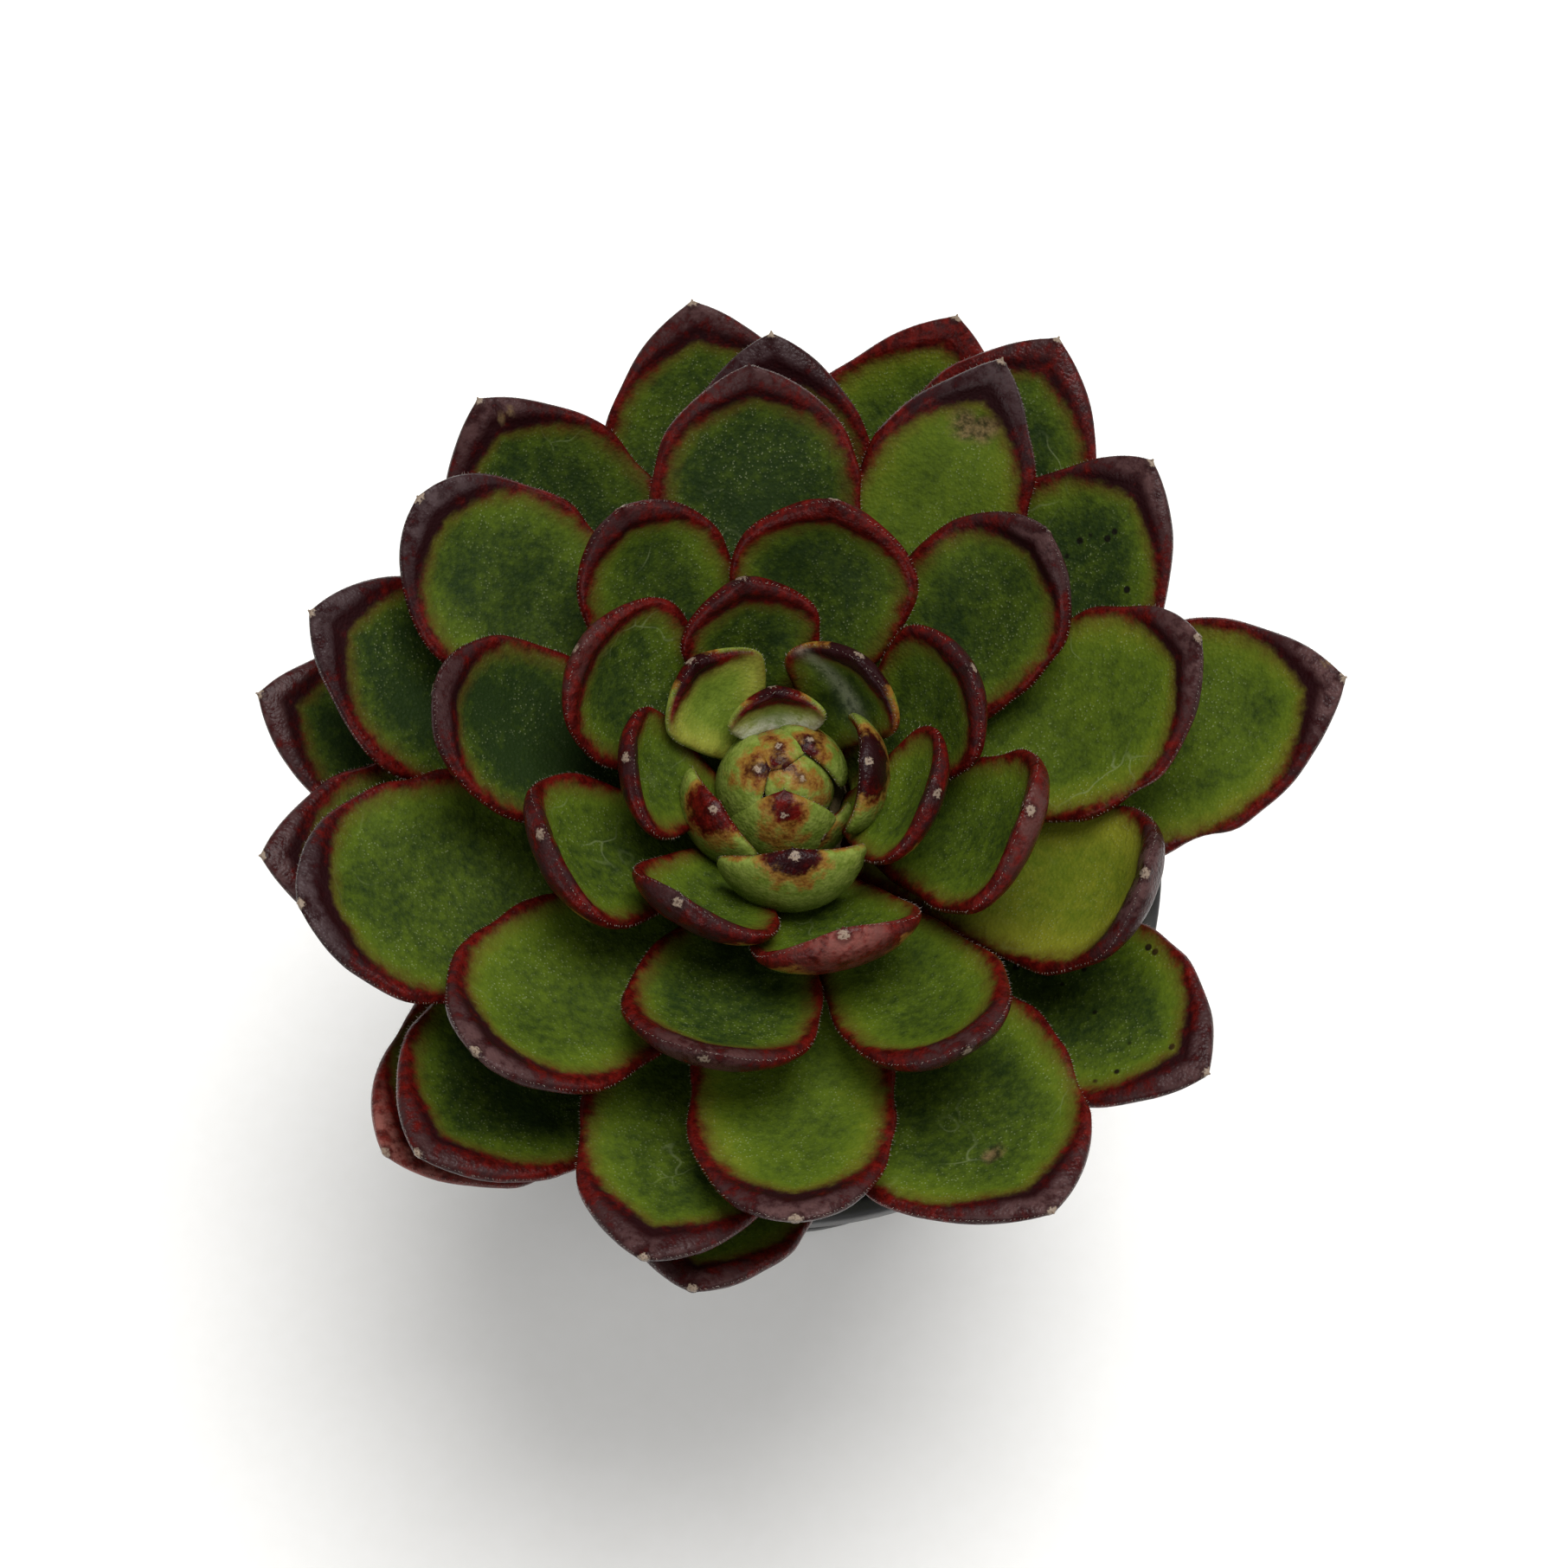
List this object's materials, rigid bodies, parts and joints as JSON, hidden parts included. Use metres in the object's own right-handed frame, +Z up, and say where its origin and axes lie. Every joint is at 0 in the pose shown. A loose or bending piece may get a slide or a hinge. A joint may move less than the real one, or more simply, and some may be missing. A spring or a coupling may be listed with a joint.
{
  "type": "potted succulent",
  "caption": "Rosette of thick green leaves with dark red margins on a short stem, rooted in dark soil in a plain round tapered plastic pot.",
  "frame": {"origin": "centre of the pot's flat underside, where it stands", "axes": "+Z up along the axis of the pot and the stem; -Y towards the side the plant is looked at from, +X to its right"},
  "size_m": [0.129, 0.1242, 0.1202],
  "materials": {
    "leaf_green": "satin",
    "leaf_young": "satin",
    "stem_cork": "matte",
    "potting_soil": "matte",
    "pot_plastic": "matte"
  },
  "bodies": {
    "root": {"pot": "pot_plastic", "soil": "potting_soil", "stem": "stem_cork", "leaf_01": "leaf_young", "leaf_02": "leaf_young", "leaf_03": "leaf_young", "leaf_04": "leaf_young", "leaf_05": "leaf_young", "leaf_06": "leaf_young", "leaf_07": "leaf_young", "leaf_08": "leaf_young", "leaf_09": "leaf_young", "leaf_10": "leaf_young", "leaf_11": "leaf_young", "leaf_12": "leaf_young", "leaf_13": "leaf_green", "leaf_14": "leaf_green", "leaf_15": "leaf_green", "leaf_16": "leaf_green", "leaf_17": "leaf_green", "leaf_18": "leaf_green", "leaf_19": "leaf_green", "leaf_20": "leaf_green", "leaf_21": "leaf_green", "leaf_22": "leaf_green", "leaf_23": "leaf_green", "leaf_24": "leaf_green", "leaf_25": "leaf_green", "leaf_26": "leaf_green", "leaf_27": "leaf_green", "leaf_28": "leaf_green", "leaf_29": "leaf_green", "leaf_30": "leaf_green", "leaf_31": "leaf_green", "leaf_32": "leaf_green", "leaf_33": "leaf_green", "leaf_34": "leaf_green", "leaf_35": "leaf_green", "leaf_37": "leaf_green", "leaf_38": "leaf_green", "leaf_39": "leaf_green", "leaf_40": "leaf_green", "leaf_41": "leaf_green", "leaf_42": "leaf_green", "leaf_43": "leaf_green", "leaf_44": "leaf_green", "leaf_45": "leaf_green", "leaf_46": "leaf_green", "leaf_47": "leaf_green", "leaf_48": "leaf_green", "leaf_49": "leaf_green", "leaf_50": "leaf_green", "leaf_52": "leaf_green", "leaf_54": "leaf_green"}
  },
  "joints": []
}
